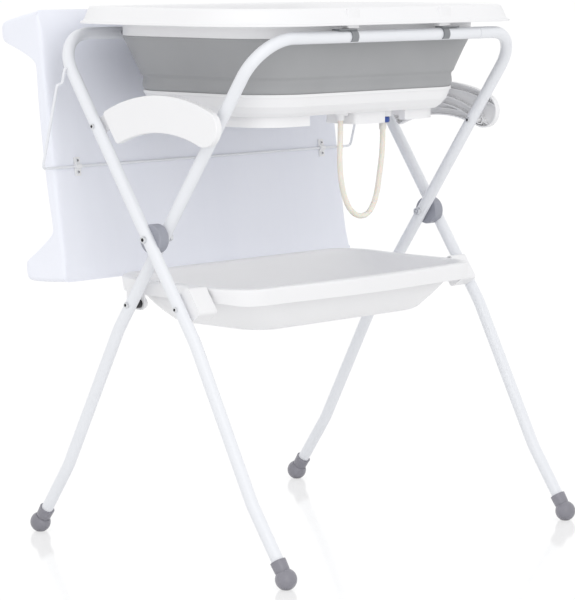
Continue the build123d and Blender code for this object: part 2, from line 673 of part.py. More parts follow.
def drain_fitting():
    """The drain: a flange on the bath's floor, a stem through it, a nut below and a spout for the hose."""
    floor_z = BASE_BOTTOM_Z + BASE_FLOOR_T
    parts = [
        (FLANGE_D / 2, floor_z, floor_z + FLANGE_T),
        (STEM_D / 2, BASE_BOTTOM_Z - DRAIN_NUT_H, floor_z),
        (DRAIN_NUT_D / 2, BASE_BOTTOM_Z - DRAIN_NUT_H, BASE_BOTTOM_Z),
        (DRAIN_END_D / 2, DRAIN_END_Z, BASE_BOTTOM_Z - DRAIN_NUT_H),
    ]
    body = Part()
    for radius, low, high in parts:
        body += Pos(DRAIN_X, DRAIN_Y, (low + high) / 2) * Cylinder(radius, high - low)
    return body - Pos(DRAIN_X, DRAIN_Y, BASE_BOTTOM_Z) * Cylinder(DRAIN_BORE_D / 2, 2 * OVERRUN)


def plug_holder():
    """The ring under the base that the hose plug is parked in."""
    ring = Circle(HOLDER_D / 2) - Circle(PLUG_D / 2 + SLIDE_FIT)
    return extrude(Pos(PLUG_X, DRAIN_Y, BASE_BOTTOM_Z - HOLDER_H) * ring, HOLDER_H)


def hose_plug():
    """The blue plug on the hose's end: a body in the holder, a grip flange and a tapered sleeve."""
    flange_top = BASE_BOTTOM_Z - HOLDER_H - SEAT
    flange_low = flange_top - PLUG_FLANGE_H
    at = Pos(PLUG_X, DRAIN_Y, 0)
    flange = Pos(0, 0, (flange_top + flange_low) / 2) * Cylinder(PLUG_FLANGE_D / 2, PLUG_FLANGE_H)
    flange = fillet(flange.edges().filter_by(GeomType.CIRCLE), PLUG_FLANGE_H / 4)
    body = Pos(0, 0, flange_top + PLUG_BODY_H / 2) * Cylinder(PLUG_D / 2, PLUG_BODY_H)
    sleeve_h = flange_low - PLUG_END_Z
    sleeve = Pos(0, 0, PLUG_END_Z + sleeve_h / 2) * Cone(HOSE_R + HOSE_WALL, PLUG_SLEEVE_D / 2, sleeve_h)
    return at * (flange + body + sleeve)


# The hose's way from the drain down, round and up to its plug, chosen by hand from the photographed loop
HOSE_ROUTE = [
    (DRAIN_X, DRAIN_Y, DRAIN_END_Z),
    (DRAIN_X, DRAIN_Y, 735.0),
    (-23.0, -118.0, 690.0),
    (-14.0, -117.0, 641.0),
    (5.0, -116.0, 605.0),
    (34.0, -115.0, 587.0),
    (64.0, -115.0, 592.0),
    (84.0, -115.0, 622.0),
    (92.0, -116.0, 668.0),
    (PLUG_X, DRAIN_Y, 712.0),
    (PLUG_X, DRAIN_Y, PLUG_END_Z),
]


def drain_hose():
    """The ivory hose: straight runs joined by arcs as wide as the runs allow."""
    points = [Vector(*each) for each in HOSE_ROUTE]
    radii = []
    for before, here, after in zip(points, points[1:], points[2:]):
        turn = math.radians((here - before).get_angle(after - here))
        shorter = min((here - before).length, (after - here).length)
        radii.append(0.45 * shorter / math.tan(turn / 2))
    print("hose radii", [round(r, 1) for r in radii])
    path = FilletPolyline(*points, radius=radii)
    ring = Circle(HOSE_R)
    hose = sweep(Plane(origin=path @ 0, z_dir=path % 0) * ring, path=path)
    print("hose length", round(path.length, 1), "volume share", round(hose.volume / (ring.area * path.length), 4))
    return hose


def tray():
    """The moulded tray: a rim with a band that rests on the stubs, a bowl, and a rear ear at each end to turn on."""
    wall = TRAY_WALL
    band = [
        (TRAY_HALF_L, TRAY_HALF_D, TRAY_CORNER_R, TRAY_TOP_Z),
        (TRAY_HALF_L - TRAY_DRAFT, TRAY_HALF_D - TRAY_DRAFT, TRAY_CORNER_R - TRAY_DRAFT, TRAY_LOW_Z),
    ]
    under = [(a - wall, b - wall, r - wall, z - (wall if z > TRAY_LOW_Z else SEAT)) for a, b, r, z in band]
    shoulder = TRAY_RIM_W + BOWL_SHOULDER_IN
    bowl = [
        (TRAY_HALF_L - TRAY_RIM_W + wall, TRAY_HALF_D - TRAY_RIM_W + wall, TRAY_CORNER_R - TRAY_RIM_W + wall,
         TRAY_TOP_Z),
        (TRAY_HALF_L - shoulder, TRAY_HALF_D - shoulder, TRAY_CORNER_R - shoulder, BOWL_SHOULDER_Z),
        (BOWL_HALF_L, BOWL_HALF_D, BOWL_CORNER_R, BOWL_BOTTOM_Z),
    ]
    inside = shrink(bowl, wall)
    inside[-1] = (*inside[-1][:3], BOWL_BOTTOM_Z + wall)
    body = stack(band) - stack(under) + stack(bowl)
    hinge_y, hinge_z = on_leg(-TRAY_PIN_R)
    ear_z = hinge_z - HINGE_BOSS_D / 2 - wall / 2
    ear_h = TRAY_TOP_Z - wall / 2 - ear_z
    ear_at = Pos(-hinge_y + (EAR_REAR - EAR_FRONT) / 2, ear_z + ear_h / 2)
    ear = side_plate(ear_at * RectangleRounded(EAR_FRONT + EAR_REAR, ear_h, EAR_CORNER), -TRAY_HALF_L + SEAT, wall)
    ear += rod_x(HINGE_BOSS_D / 2, -TRAY_HALF_L + SEAT, -TRAY_HALF_L + SEAT + HINGE_BOSS_H, -hinge_y, hinge_z)
    body += ear
    body += mirrored(ear)
    body -= stack(inside)
    bore = HINGE_BOLT_D / 2 + RUN_FIT
    return body - rod_x(bore, -TRAY_HALF_L - OVERRUN, TRAY_HALF_L + OVERRUN, -hinge_y, hinge_z)


def hinge_bolt():
    """The bolt through a left rear leg that the tray turns on."""
    y, z = on_leg(-TRAY_PIN_R)
    tip = -(TRAY_HALF_L - SEAT - HINGE_BOSS_H - HINGE_NUT_H)
    return screw_x(BOLT_HEAD_D - 2, BOLT_HEAD_H, HINGE_BOLT_D, -(INNER_X + TUBE_R), tip, -y, z)


def hinge_nut():
    """The nut on a left hinge bolt, inside the tray's ear."""
    y, z = on_leg(-TRAY_PIN_R)
    start = -(TRAY_HALF_L - SEAT - HINGE_BOSS_H - SEAT)
    return nut_x(HINGE_NUT_D, HINGE_NUT_H - SEAT, HINGE_BOLT_D / 2 + SLIDE_FIT, start, -y, z, 1)


def hinge_washer():
    """The black washer between a left rear leg and the tray."""
    y, z = on_leg(-TRAY_PIN_R)
    start = -(INNER_X - TUBE_R)
    end = -(TRAY_HALF_L + SEAT)
    return rod_x(WASHER_D / 2, start, end, -y, z) - rod_x(HINGE_BOLT_D / 2 + SLIDE_FIT, start, end, -y, z)


def board_plane(x):
    """The board's flat face: its X runs up the board, its Y points backwards, out of the face."""
    up = (0, math.sin(BOARD_LEAN), math.cos(BOARD_LEAN))
    return Plane(origin=(x, BOARD_FOOT_Y, BOARD_FOOT_Z), x_dir=up, z_dir=(-1, 0, 0))


def wire_place():
    """Y and Z of the bail's long wire, which lies on the board's face."""
    y = BOARD_FOOT_Y + WIRE_SEAT * math.sin(BOARD_LEAN) - WIRE_STAND * math.cos(BOARD_LEAN)
    z = BOARD_FOOT_Z + WIRE_SEAT * math.cos(BOARD_LEAN) + WIRE_STAND * math.sin(BOARD_LEAN)
    return (y, z)


def bail():
    """The wire bail: two bent arms from the rear legs and one long wire across the board."""
    pin_y, pin_z = on_leg(BAIL_PIN_R)
    wire_y, wire_z = wire_place()
    arm = math.hypot(wire_y - pin_y, wire_z - pin_z)

    def along(x, distance):
        share = distance / arm
        return Vector(x, pin_y + share * (wire_y - pin_y), pin_z + share * (wire_z - pin_z))

    left = [
        Vector(-(OUTER_X - BAIL_IN), pin_y, pin_z),
        along(-BAIL_NEAR_X, 0),
        along(-BAIL_NEAR_X, JOG_START),
        along(-BAIL_FAR_X, JOG_END),
        along(-BAIL_FAR_X, arm),
    ]
    right = [Vector(-each.X, each.Y, each.Z) for each in reversed(left)]
    bends = [PIN_BEND_R, JOG_BEND_R, JOG_BEND_R, BAIL_BEND_R]
    path = FilletPolyline(*left, *right, radius=bends + bends[::-1])
    return sweep(Plane(origin=path @ 0, z_dir=path % 0) * Circle(WIRE_R), path=path)


def changing_board():
    """The padded board: a flat face, a crowned pad and a wedge along each long edge, with sewn end channels."""
    half = BOARD_W / 2
    low_half = [
        (0, 0),
        (WEDGE_TIP_IN, WEDGE_H - WEDGE_TIP_DROP),
        (WEDGE_TIP_IN + WEDGE_TIP_W, WEDGE_H),
        (WEDGE_BASE, BOARD_T),
    ]
    high_half = [(BOARD_W - s, n) for s, n in reversed(low_half)]
    lower = Polyline(*low_half)
    crown = ThreePointArc(low_half[-1], (half, BOARD_T + BOARD_CROWN), high_half[0])
    upper = Polyline(*high_half)
    back = Line(high_half[-1], low_half[0])
    profile = make_face(lower + crown + upper + back)
    corners = profile.vertices().sort_by(Axis.Y)
    profile = fillet(corners[:2], BOARD_EDGE_R)
    tips = profile.vertices().filter_by(lambda v: v.Y > WEDGE_H / 2)
    profile = fillet(tips, WEDGE_TIP_R)
    inner_from = WEDGE_BASE - BOARD_EDGE_R
    roots = profile.vertices().filter_by(lambda v: inner_from < v.X < BOARD_W - inner_from)
    profile = fillet(roots, WEDGE_ROOT_R)
    board = extrude(board_plane(BOARD_L / 2) * profile, BOARD_L)
    ends = board.faces().filter_by(Axis.X)
    board = chamfer(ends.edges(), BOARD_END_R / 2)
    for side in (-1, 1):
        channel = Pos(half, 0) * Rectangle(BOARD_W, 2 * SEAM_DEPTH)
        at = side * (BOARD_L / 2 - SEAM_INSET) + SEAM_W / 2
        board -= extrude(board_plane(at) * channel, SEAM_W)
    for s in clip_screw_places():
        for x in (-BOARD_CLIP_X, BOARD_CLIP_X):
            board -= board_pin(x, s, CLIP_SCREW_D / 2 + SLIDE_FIT, -OVERRUN, CLIP_SCREW_L)
    return board


def clip_screw_places():
    """How far up the board the two screws of a wire clip sit."""
    reach = BOARD_CLIP_L / 2 - CLIP_SCREW_INSET
    return (WIRE_SEAT - reach, WIRE_SEAT + reach)


def board_pin(x, s, radius, low, high):
    """A round bar square to the board's face, from one depth to another."""
    turned = Pos(s, (low + high) / 2, 0) * Rot(90, 0, 0) * Cylinder(radius, abs(high - low))
    return board_plane(x) * turned


def board_clip():
    """The left wire clip: a small plate with a tunnel round the wire and two screw holes."""
    plate = Pos(WIRE_SEAT, -BOARD_CLIP_T / 2) * Rectangle(BOARD_CLIP_L, BOARD_CLIP_T)
    tunnel_r = WIRE_R + SLIDE_FIT + CLIP_TUNNEL_WALL
    hump = Pos(WIRE_SEAT, -WIRE_STAND) * Circle(tunnel_r)
    front_only = Pos(WIRE_SEAT, -BOARD_CLIP_L) * Rectangle(BOARD_CLIP_L, 2 * BOARD_CLIP_L)
    outline = plate + (hump & front_only) - Pos(WIRE_SEAT, -WIRE_STAND) * Circle(WIRE_R + SLIDE_FIT)
    clip = extrude(board_plane(-BOARD_CLIP_X + BOARD_CLIP_W / 2) * outline, BOARD_CLIP_W)
    for s in clip_screw_places():
        clip -= board_pin(-BOARD_CLIP_X, s, CLIP_SCREW_D / 2 + SLIDE_FIT, -OVERRUN, OVERRUN)
    return clip


def clip_screws():
    """The four screws of the two wire clips."""
    found = []
    for x in (-BOARD_CLIP_X, BOARD_CLIP_X):
        for s in clip_screw_places():
            piece = screw(CLIP_SCREW_HEAD_D, CLIP_SCREW_HEAD_H, CLIP_SCREW_D, CLIP_SCREW_L - SEAT)
            found.append(board_plane(x) * Pos(s, -BOARD_CLIP_T, 0) * Rot(90, 0, 0) * piece)
    return Compound(found)


def build():
    """Every node of the object by name, with the pivots at Y = 0."""
    left_arch = arch()
    left_disc = pivot_disc()
    left_bracket = tray_bracket()
    left_roller = track_roller()
    left_bar_clip = bar_clip()
    left_board_clip = board_clip()
    return {
        "outer_tube_left": outer_half(-1),
        "outer_tube_right": outer_half(1),
        "inner_tube_left": inner_half(-1),
        "inner_tube_right": inner_half(1),
        "outer_seam_screw": seam_screw(-1),
        "inner_seam_screw": seam_screw(1),
        "foot_front_left": foot(-OUTER_X, -1),
        "foot_front_right": foot(OUTER_X, -1),
        "foot_rear_left": foot(-INNER_X, 1),
        "foot_rear_right": foot(INNER_X, 1),
        "pivot_disc_left": left_disc,
        "pivot_disc_right": mirrored(left_disc),
        "pivot_bolts": both_sides(pivot_bolt()),
        "pivot_nuts": both_sides(pivot_nut()),
        "arch_left": left_arch,
        "arch_right": mirrored(left_arch),
        "arch_screws": both_sides(arch_screw()),
        "track_roller_left": left_roller,
        "track_roller_right": mirrored(left_roller),
        "roller_screws": both_sides(roller_screw()),
        "tray_bracket_left": left_bracket,
        "tray_bracket_right": mirrored(left_bracket),
        "bracket_screws": both_sides(bracket_screw()),
        "bar_clip_left": left_bar_clip,
        "bar_clip_right": mirrored(left_bar_clip),
        "tub_rim": tub_rim(),
        "tub_wall": tub_wall(),
        "tub_base": tub_base(),
        "drain_fitting": drain_fitting(),
        "plug_holder": plug_holder(),
        "hose_plug": hose_plug(),
        "drain_hose": drain_hose(),
        "tray": tray(),
        "tray_hinge_bolts": both_sides(hinge_bolt()),
        "tray_hinge_nuts": both_sides(hinge_nut()),
        "tray_hinge_washers": both_sides(hinge_washer()),
        "bail_wire": bail(),
        "changing_board": changing_board(),
        "board_clip_left": left_board_clip,
        "board_clip_right": mirrored(left_board_clip),
        "board_clip_screws": clip_screws(),
    }


os.makedirs("parts", exist_ok=True)
for name, piece in build().items():
    export_step(Pos(0, PIVOT_Y, 0) * piece, f"parts/{name}.step")
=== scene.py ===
import math

import bmesh
import bpy
import numpy as np
from mathutils import Matrix, Vector


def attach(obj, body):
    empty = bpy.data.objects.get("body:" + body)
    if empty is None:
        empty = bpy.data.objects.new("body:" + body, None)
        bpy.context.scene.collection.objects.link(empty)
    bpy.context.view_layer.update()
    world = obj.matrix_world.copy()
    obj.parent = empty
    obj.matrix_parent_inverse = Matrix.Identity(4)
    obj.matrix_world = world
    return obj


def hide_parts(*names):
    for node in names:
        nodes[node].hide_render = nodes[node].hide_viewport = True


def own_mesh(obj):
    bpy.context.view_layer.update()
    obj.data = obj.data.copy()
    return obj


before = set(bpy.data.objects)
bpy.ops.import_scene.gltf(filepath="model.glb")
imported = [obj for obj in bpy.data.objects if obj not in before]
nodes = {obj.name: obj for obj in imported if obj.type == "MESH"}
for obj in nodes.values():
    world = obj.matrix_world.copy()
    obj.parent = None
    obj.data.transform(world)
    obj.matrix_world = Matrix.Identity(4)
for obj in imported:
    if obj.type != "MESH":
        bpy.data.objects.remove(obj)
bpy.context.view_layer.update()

bpy.context.scene.view_settings.view_transform = "Standard"

# The camera stands at the table's front left corner, a little above the bath's rim,
# and looks slightly down through a long lens.
eye = Vector((-3.7079, -3.3907, 1.0623))
yaw, pitch, roll = 0.82828, -0.12592, 0.00142
ahead = Vector((math.sin(yaw) * math.cos(pitch), math.cos(yaw) * math.cos(pitch), math.sin(pitch)))
level_right = Vector((math.cos(yaw), -math.sin(yaw), 0.0))
level_up = level_right.cross(ahead)
right = math.cos(roll) * level_right + math.sin(roll) * level_up
above = math.cos(roll) * level_up - math.sin(roll) * level_right
camera = bpy.data.objects.new("camera", bpy.data.cameras.new("camera"))
bpy.context.scene.collection.objects.link(camera)
camera.data.lens = 163.7
camera.data.clip_end = 1000.0
turn = Matrix((right, above, -ahead)).transposed().to_4x4()
camera.matrix_world = Matrix.Translation(eye) @ turn
bpy.context.scene.camera = camera


# Drain hose: limp ivory tube of soft plastic, pushed over the drain's spout, hanging in a loop
# and held up by its plug under the bath.
class Tone:
    """A value, a colour or a shader in a finish. Arithmetic on values adds Math nodes."""

    def __init__(self, finish, socket):
        self.finish = finish
        self.socket = socket

    def math(self, operation, *values):
        return self.finish.node("ShaderNodeMath", {"operation": operation}, dict(enumerate(values)))

    def __add__(self, other):
        return self.math("ADD", self, other)

    def __mul__(self, other):
        return self.math("MULTIPLY", self, other)

    def __lt__(self, other):
        return self.math("LESS_THAN", self, other)

    __radd__ = __add__
    __rmul__ = __mul__


class Finish:
    """The nodes of a material or of the room's light. A material given a colour keeps one Principled shader; without
    a colour its nodes are cleared.
    """

    def __init__(self, owner, colour=None, roughness=0.5, **constants):
        self.owner = bpy.data.materials.new(owner) if isinstance(owner, str) else owner
        self.owner.use_nodes = True
        self.tree = self.owner.node_tree
        if colour is None:
            self.tree.nodes.clear()
        else:
            self.shader = self.tree.nodes["Principled BSDF"]
            self.shader.inputs["Base Color"].default_value = (*colour, 1.0)
            self.shader.inputs["Roughness"].default_value = roughness
            for socket, value in constants.items():
                self.shader.inputs[socket.replace("_", " ")].default_value = value

    def node(self, kind, settings=None, values=None, out=0):
        """Adds a node: its settings first, then the values or links of its sockets."""
        made = self.tree.nodes.new(kind)
        for key, value in (settings or {}).items():
            setattr(made, key, value)
        for key, value in (values or {}).items():
            if isinstance(value, Tone):
                self.tree.links.new(value.socket, made.inputs[key])
            else:
                made.inputs[key].default_value = value
        return Tone(self, made.outputs[out]) if made.outputs else None

    def place(self):
        """The object's own coordinates, in metres."""
        return self.node("ShaderNodeTexCoord", out="Object")

    def axis(self, letter):
        """One of the object's own coordinates."""
        return self.node("ShaderNodeSeparateXYZ", {}, {0: self.place()}, out=letter)

    def noise(self, scale, detail=3.0, roughness=0.5, stretch=(1.0, 1.0, 1.0)):
        """Smooth noise from 0 to 1, so many cells to the metre."""
        where = self.node("ShaderNodeMapping", {}, {"Vector": self.place(), "Scale": stretch})
        values = {"Vector": where, "Scale": scale, "Detail": detail, "Roughness": roughness}
        return self.node("ShaderNodeTexNoise", {}, values)

    def blend(self, share, first, second):
        """A colour between two, by a share."""
        colours = [(*c, 1.0) if isinstance(c, tuple) else c for c in (first, second)]
        return self.node("ShaderNodeMix", {"data_type": "RGBA"}, {0: share, 6: colours[0], 7: colours[1]}, out=2)

    def feed(self, socket, value):
        self.tree.links.new(value.socket, self.shader.inputs[socket])

    def vary(self, cells, first, second, rough, spread, fine_cells, detail=4.0):
        """Lets the colour wander between two, and the roughness from rough to rough + spread."""
        self.feed("Base Color", self.blend(self.noise(cells), first, second))
        self.feed("Roughness", rough + spread * self.noise(fine_cells, detail))

    def relief(self, height, depth):
        """Small relief of a depth in metres, from a height of 0 to 1."""
        self.feed("Normal", self.node("ShaderNodeBump", {}, {"Height": height, "Distance": depth, "Strength": 1.0}))

    def show(self, kind, share, first, second):
        """Sends a mix of two shaders to the output, the second one where the share is 1."""
        mixed = self.node("ShaderNodeMixShader", {}, {0: share, 1: first, 2: second})
        self.node(kind, {}, {"Surface": mixed})

    def paint(self, *names):
        """Puts the finish on CAD nodes, on each of their material slots."""
        for name in names:
            for spot in nodes[name].material_slots:
                spot.material = self.owner


hose_route = [
    (-0.020, -0.1354, 0.766),
    (-0.020, -0.1354, 0.735),
    (-0.023, -0.1354, 0.690),
    (-0.014, -0.1344, 0.641),
    (0.005, -0.1334, 0.605),
    (0.034, -0.1324, 0.587),
    (0.064, -0.1324, 0.592),
    (0.084, -0.1324, 0.622),
    (0.092, -0.1334, 0.668),
    (0.097, -0.1354, 0.712),
    (0.097, -0.1354, 0.745),
]
hose_line = bpy.data.curves.new("hose", "CURVE")
hose_line.dimensions = "3D"
strand = hose_line.splines.new("NURBS")
strand.points.add(len(hose_route) - 1)
for point, at in zip(strand.points, hose_route):
    point.co = (*at, 1.0)
strand.order_u = 3
strand.use_endpoint_u = True
strand.resolution_u = 16
hose_line.bevel_depth = 0.005
hose_line.bevel_resolution = 6
hose = bpy.data.objects.new("hose", hose_line)
bpy.context.scene.collection.objects.link(hose)
soft_tube = Finish("soft_ivory_tube", (0.80, 0.76, 0.66), 0.34, Subsurface_Weight=0.25, Subsurface_Scale=0.004)
soft_tube.vary(60.0, (0.86, 0.83, 0.76), (0.78, 0.74, 0.65), 0.28, 0.14, 180.0, detail=3.0)
hose_line.materials.append(soft_tube.owner)
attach(hose, "tub_bottom")
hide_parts("drain_hose")

# Hose plug: moulded in blue with a grip flange, over a milky tapered sleeve for the hose.
blue_plug = Finish("blue_plug", (0.03, 0.075, 0.34), 0.42)
blue = blue_plug.blend(blue_plug.noise(120.0), (0.035, 0.09, 0.37), (0.02, 0.06, 0.29))
blue_plug.feed("Base Color", blue_plug.blend(blue_plug.axis("Z") < 0.7577, blue, (0.80, 0.78, 0.72)))
blue_plug.relief(blue_plug.noise(900.0), 0.00008)
blue_plug.paint("hose_plug")

# Bath rim: one white moulding of 3 mm polypropylene, with a skirt that flares to a bead all round,
# a narrow rounded top, a flared mouth and a collar that grips the soft wall. Lugs under it rest on the bars.
bath_y = -0.0174


def soften(rows, rounds=2, loop=True):
    """Rounds a section: every run from a to b becomes the two points 3/4 a + 1/4 b and 1/4 a + 3/4 b."""
    rows = np.asarray(rows, float)
    for _ in range(rounds):
        ahead = np.roll(rows, -1, axis=0)
        cut = np.stack((0.75 * rows + 0.25 * ahead, 0.25 * rows + 0.75 * ahead), axis=1).reshape(-1, rows.shape[1])
        rows = cut if loop else np.vstack((rows[:1], cut[:-2], rows[-1:]))
    return rows


def rings(rows, arc=10, side=14):
    """Rounded rectangles as a grid. A corner of radius r turns through a quarter t: x = s (l - r) + r cos t
    and y = q (d - r) + r sin t, and along a straight side s or q runs from 1 to -1. Rows are l, d, r, z in mm."""
    quarter = np.linspace(0, 0.5 * math.pi, arc)
    run = np.linspace(1, -1, side + 2)[1:-1]
    whole, flat = np.ones(arc), np.ones(side)
    bends = [np.concatenate((quarter + k * 0.5 * math.pi, flat * (k + 1) * 0.5 * math.pi)) for k in range(4)]
    t = np.concatenate(bends)
    s = np.concatenate((whole, run, -whole, -flat, -whole, -run, whole, flat))
    q = np.concatenate((whole, flat, whole, run, -whole, -flat, -whole, -run))
    l, d, r, z = (np.asarray(rows, float) * 0.001).T[:, :, None]
    grid = np.broadcast_arrays(s * (l - r) + r * np.cos(t), q * (d - r) + r * np.sin(t), z)
    return np.stack(grid, axis=2)


def skin(grid, loop=True, dark_from=None):
    """Points, faces and finish numbers of a grid whose rows close on themselves. With loop its columns close
    too, and otherwise flat faces close its two ends. Rows from dark_from on get the second finish."""
    m, n = grid.shape[:2]
    row, column = np.meshgrid(np.arange(m if loop else m - 1), np.arange(n), indexing="ij")
    over, beside = (row + 1) % m, (column + 1) % n
    quads = np.stack((row * n + column, row * n + beside, over * n + beside, over * n + column), axis=-1)
    ends = [] if loop else [list(range(n))[::-1], list(range((m - 1) * n, m * n))]
    finish = (row >= (m if dark_from is None else dark_from)).astype(int).ravel().tolist()
    ends_finish = [] if loop else [0, int(dark_from is not None)]
    return grid.reshape(-1, 3), quads.reshape(-1, 4).tolist() + ends, finish + ends_finish


def outwards_facing(mesh, weld=0.0):
    """Turns the faces of a closed mesh outwards. Points nearer to each other than weld become one first."""
    whole = bmesh.new()
    whole.from_mesh(mesh)
    if weld:
        bmesh.ops.remove_doubles(whole, verts=whole.verts, dist=weld)
    bmesh.ops.recalc_face_normals(whole, faces=whole.faces)
    whole.to_mesh(mesh)
    whole.free()


def piece(name, skins, finishes, body, replaced, sharp_deg=42.0):
    """One object from one or more skins, with its faces turned outwards."""
    points, faces, marks, start = [], [], [], 0
    for vertices, patches, finish in skins:
        points.append(vertices)
        faces += [[start + i for i in patch] for patch in patches]
        marks += finish
        start += len(vertices)
    mesh = bpy.data.meshes.new(name)
    mesh.from_pydata(np.vstack(points).tolist(), [], faces)
    mesh.polygons.foreach_set("material_index", marks)
    outwards_facing(mesh)
    mesh.shade_smooth()
    mesh.set_sharp_from_angle(angle=math.radians(sharp_deg))
    for finish in finishes:
        mesh.materials.append(finish.owner)
    made = bpy.data.objects.new(name, mesh)
    bpy.context.scene.collection.objects.link(made)
    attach(made, body)
    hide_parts(*replaced)
    return made


white_plastic = Finish("white_moulding", (0.88, 0.88, 0.88), 0.36)
white_plastic.vary(9.0, (0.89, 0.89, 0.90), (0.86, 0.86, 0.875), 0.3, 0.16, 40.0)
white_plastic.relief(white_plastic.noise(1400.0, 2.0), 0.00004)

rim_section = [
    (398, 248, 148, 941), (400, 250, 150, 941), (400, 250, 150, 942.5), (400, 250, 150, 944), (396, 246, 146, 945.5),
    (393, 243, 143, 949), (389.5, 239.5, 139.5, 957), (387, 237, 137, 963), (385, 235, 135, 968),
    (382, 232, 132, 971), (378, 229, 130, 971), (366, 223, 128, 971), (358, 217, 127, 971), (353, 213, 126, 969),
    (340, 209, 123, 960), (322, 204, 117, 948), (317, 202, 115, 944), (317, 202, 115, 936), (317, 202, 115, 922),
    (317, 202, 115, 919), (320, 205, 118, 919), (320, 205, 118, 921), (320, 205, 118, 936), (320, 205, 118, 945),
    (326, 207.5, 120, 949), (343, 213, 126, 961), (356, 218, 130, 967.5), (370, 225, 130, 968), (380, 230, 130, 968),
    (382, 232, 132, 966), (384, 234, 134, 962), (390, 240, 140, 949), (393, 243, 143, 944), (396, 246, 146, 941),
]
bath_rim = rings(soften(rim_section, 1)) + (0, bath_y, 0)
lugs = [rings([(14, 7, 2, low), (15, 8, 2, low + 1), (15, 8, 2, 969)], arc=4, side=2) + (x, bath_y + y, 0)
        for x in (-0.125, 0.125) for y, low in ((-0.233, 935.1), (0.233, 932.3))]
piece("bath_rim", [skin(bath_rim)] + [skin(lug, loop=False) for lug in lugs], [white_plastic], "tub",
      ["tub_rim"])

# Soft wall: grey thermoplastic rubber moulded on to collar and base. It tapers to a crease, under which
# it stands upright and bulges a little.
soft_wall = Finish("soft_grey_wall", (0.37, 0.375, 0.385), 0.5)
soft_wall.vary(12.0, (0.385, 0.39, 0.40), (0.34, 0.345, 0.355), 0.42, 0.16, 30.0)
soft_wall.relief(soft_wall.noise(1200.0, 2.0), 0.00004)
wall_outside = [
    (319.5, 204.5, 117.5, 918.9), (319, 204, 117, 914), (312, 199.5, 114, 901), (305, 195, 111, 888),
    (296, 189.5, 108, 869), (289.5, 185.2, 105, 855), (288.3, 184.3, 104.3, 851), (286, 182, 102, 848.5),
    (283.5, 179.5, 99.5, 846), (283, 179, 99, 842), (284.3, 180.5, 100.5, 835), (284, 180.5, 100.5, 828),
    (281.6, 178.5, 100.4, 822), (281, 178, 100, 821.1),
]
wall_inside = [(l - 2.8, d - 2.8, r - 2.8, z) for l, d, r, z in reversed(wall_outside)]
bath_wall = piece("bath_wall", [skin(rings(soften(wall_outside + wall_inside, 1)) + (0, bath_y, 0))],
                  [soft_wall], "tub", ["tub_wall"])
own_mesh(bath_wall)

# Base of the bath with its drain and plug ring: white mouldings.
white_plastic.paint("tub_base", "drain_fitting", "plug_holder")

# Storage tray: one thin white moulding, a deep bowl with a turned-down band all round. The front edge bows
# forward under a deeper band, the rear edge rises, and an ear hangs at each rear end for the hinge bolt.
tray_section = [
    (150, 50, 30, 402), (196, 82, 36, 402), (214, 98, 44, 403), (236, 110, 50, 409), (262, 122, 80, 421),
    (286, 133, 92, 436), (302, 141, 86, 452), (308, 146, 66, 466), (312, 149, 54, 479), (314, 152, 55, 484.5),
    (317, 155, 57, 487), (322, 160, 62, 487), (328, 166, 68, 487), (332, 170, 72, 485.5), (331.8, 169.8, 71.8, 480),
    (330.5, 168.5, 70.5, 470), (329.2, 167.2, 69.2, 462), (329, 167, 69, 460.5), (327, 165, 67, 460.5),
    (326.2, 164.2, 66.2, 462), (327, 165, 67, 470), (328, 166, 68, 481), (322, 160, 62, 484),
    (316, 154, 57, 482), (311.5, 149.5, 69, 470), (306, 144.5, 88, 452), (289, 136, 94, 432), (264, 125, 82, 416),
    (238, 113, 53, 404), (214, 101, 46, 399.5), (196, 84, 38, 399), (150, 50, 30, 399),
]
tray_grid = rings(soften(tray_section, 1, loop=False), arc=12, side=24)
front_bow, rear_rise, band_drop = 0.013, 0.004, 0.004
tray_half_y = 0.17
band_in_x, band_in_y, band_low = 0.31, 0.162, 0.459
x, y, z = tray_grid[..., 0], tray_grid[..., 1], tray_grid[..., 2]
high = np.clip((z - 0.400) / 0.06, 0, 1)
bow = np.cos(np.clip(x / 0.27, -1, 1) * 0.5 * math.pi) ** 2
tray_grid[..., 1] = y - front_bow * bow * high * np.clip(-y / tray_half_y, 0, 1) ** 2
tray_grid[..., 2] = z + rear_rise * high * np.clip(y / tray_half_y, 0, 1) ** 2
band = (x / band_in_x) ** 2 + (y / band_in_y) ** 2 > 1.0
in_front = np.clip((-y - 0.12) / 0.03, 0, 1)
tray_grid[..., 2] -= band_drop * band * in_front * np.clip((0.480 - z) / 0.018, 0, 1) * (z > band_low)
hinge_y, hinge_z = 0.0657, 0.4450
ear_rows = [(3.06, 0), (22.5, 0), (22.5, 3), (10, 3), (10, 10.6), (9.6, 11), (3.06, 11)]
flat_ear = rings([(r, 25.95 if r > 20 else r, min(r, 9) if r > 20 else r, 0) for r, _ in ear_rows], arc=8, side=4)
middle = np.array([(0.0105, 0.01455, 0) if r > 20 else (0, 0, 0) for r, _ in ear_rows])[:, None]
across, up, _ = np.moveaxis(flat_ear + middle, 2, 0)
depth = np.array([d for _, d in ear_rows])[:, None] * 0.001
ears = [np.stack((hand * (0.3317 - depth) + 0 * up, hinge_y + across, hinge_z + up), axis=2) for hand in (-1, 1)]
piece("storage_tray", [skin(tray_grid + (0, bath_y, 0), loop=False)] + [skin(ear) for ear in ears],
      [white_plastic], "tray", ["tray"])

# Side arches, tray brackets, rollers and the two clips on the board's back: satin white mouldings.
white_plastic.paint("arch_left", "arch_right", "track_roller_left", "track_roller_right", "tray_bracket_left",
                    "tray_bracket_right", "board_clip_left", "board_clip_right")

